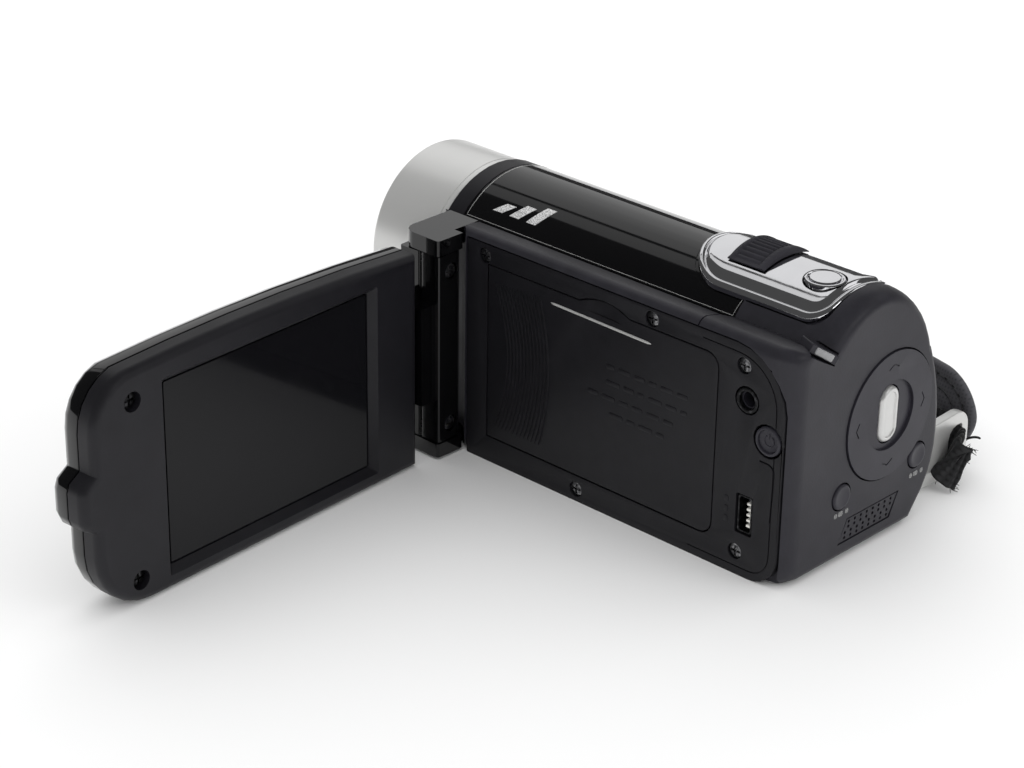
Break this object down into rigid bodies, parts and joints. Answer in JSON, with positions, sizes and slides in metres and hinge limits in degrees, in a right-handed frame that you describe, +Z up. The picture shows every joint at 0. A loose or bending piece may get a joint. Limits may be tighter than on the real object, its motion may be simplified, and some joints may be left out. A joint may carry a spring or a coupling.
{
  "type": "camcorder",
  "caption": "Handheld camcorder with a barrel lens, swing-out screen, side battery door, rear direction pad, top zoom slider and padded grip strap.",
  "frame": {"origin": "on the flat underside, below the lens axis, 54 mm behind the lens ring's front edge", "axes": "+Z up; the lens looks along -Y; the screen side is +X and the strap side is -X"},
  "size_m": [0.1698, 0.1129, 0.0534],
  "materials": {
    "matte_black": "satin moulded plastic, fine grain",
    "gloss_black": "polished black plastic",
    "satin_silver": "satin silver",
    "chrome": "bright chrome plate",
    "steel": "plated steel",
    "screen_glass": "dark polished glass",
    "lens_glass": "coated lens glass",
    "circuit_green": "circuit board",
    "cell_grey": "wrapped cell",
    "web_black": "woven nylon webbing",
    "clear": "clear plastic",
    "brass": "turned brass"
  },
  "bodies": {
    "body": {"av_jack": "satin_silver", "barrel_cover": "gloss_black", "battery_pack": "cell_grey", "card_slot": "steel", "front_cover": "matte_black", "front_glass": "lens_glass", "front_lamp": "clear", "hinge_lug_lower": "gloss_black", "hinge_lug_upper": "gloss_black", "hinge_pin_lower": "steel", "hinge_pin_upper": "steel", "image_sensor": "screen_glass", "indicator_light": "clear", "left_casing": "matte_black", "lens_bezel": "matte_black", "lens_ring": "satin_silver", "lens_tube": "matte_black", "main_board": "circuit_green", "microphone": "steel", "plate_screw_1": "steel", "plate_screw_2": "steel", "plate_screw_3": "steel", "plate_screw_4": "steel", "plate_screw_5": "steel", "rear_cover": "matte_black", "rear_lens": "lens_glass", "right_casing": "matte_black", "sensor_board": "circuit_green", "side_plate": "matte_black", "speaker": "steel", "speaker_grille": "matte_black", "strap_bracket_front": "satin_silver", "strap_bracket_rear": "satin_silver", "strap_pad": "web_black", "strap_web_front": "web_black", "strap_web_rear": "web_black", "top_plate": "chrome", "tripod_bush": "brass", "usb_shell": "steel", "usb_tongue": "matte_black"},
    "screen_arm": {"hinge_arm": "gloss_black", "hinge_arm_cover": "gloss_black", "arm_screw_lower": "steel", "arm_screw_upper": "steel", "tilt_shaft": "steel"},
    "screen_panel": {"screen_bezel": "matte_black", "screen_glass": "screen_glass", "display_module": "matte_black", "screen_cover": "gloss_black", "panel_screw_lower": "steel", "panel_screw_upper": "steel"},
    "door": {"battery_door": "matte_black"},
    "card": {"memory_card": "matte_black"},
    "shutter": {"shutter_button": "chrome"},
    "zoom": {"zoom_slider": "matte_black"},
    "pad": {"direction_pad": "matte_black"},
    "centre": {"centre_button": "satin_silver"},
    "menu": {"menu_button": "matte_black"},
    "mode": {"mode_button": "matte_black"},
    "power": {"power_button": "matte_black"}
  },
  "joints": [
    {"name": "screen_swing", "type": "hinge", "parent": "body", "child": "screen_arm", "pos_m": [0.0292, -0.0281, 0.0232], "axis": [0, 0, 1], "range_deg": [-3, 87]},
    {"name": "screen_tilt", "type": "hinge", "parent": "screen_arm", "child": "screen_panel", "pos_m": [0.0292, -0.0281, 0.0232], "axis": [0.9986, 0.0523, 0], "range_deg": [-90, 180]},
    {"name": "battery_door_lift", "type": "slide", "parent": "body", "child": "door", "axis": [-1, 0, 0], "range_m": [-0.01, 0]},
    {"name": "card_push", "type": "slide", "parent": "body", "child": "card", "axis": [-1, 0, 0], "range_m": [0, 0.001], "stiffness_N_per_m": 300},
    {"name": "shutter_press", "type": "slide", "parent": "body", "child": "shutter", "axis": [0, 0, -1], "range_m": [0, 0.0007], "stiffness_N_per_m": 500},
    {"name": "zoom_rock", "type": "hinge", "parent": "body", "child": "zoom", "pos_m": [0, 0.0338, 0.0316], "axis": [0, 1, 0], "range_deg": [-7, 7], "stiffness_Nm_per_rad": 0.12},
    {"name": "pad_rock", "type": "hinge", "parent": "body", "child": "pad", "pos_m": [-0.0049, 0.0571, 0.0261], "axis": [1, 0, 0], "range_deg": [-2, 2], "stiffness_Nm_per_rad": 0.15},
    {"name": "centre_press", "type": "slide", "parent": "body", "child": "centre", "axis": [0, -1, 0], "range_m": [0, 0.0008], "stiffness_N_per_m": 400},
    {"name": "menu_press", "type": "slide", "parent": "body", "child": "menu", "axis": [0, -1, 0], "range_m": [0, 0.0006], "stiffness_N_per_m": 400},
    {"name": "mode_press", "type": "slide", "parent": "body", "child": "mode", "axis": [0, -1, 0], "range_m": [0, 0.0006], "stiffness_N_per_m": 400},
    {"name": "power_press", "type": "slide", "parent": "body", "child": "power", "axis": [-1, 0, 0], "range_m": [0, 0.0006], "stiffness_N_per_m": 400}
  ]
}
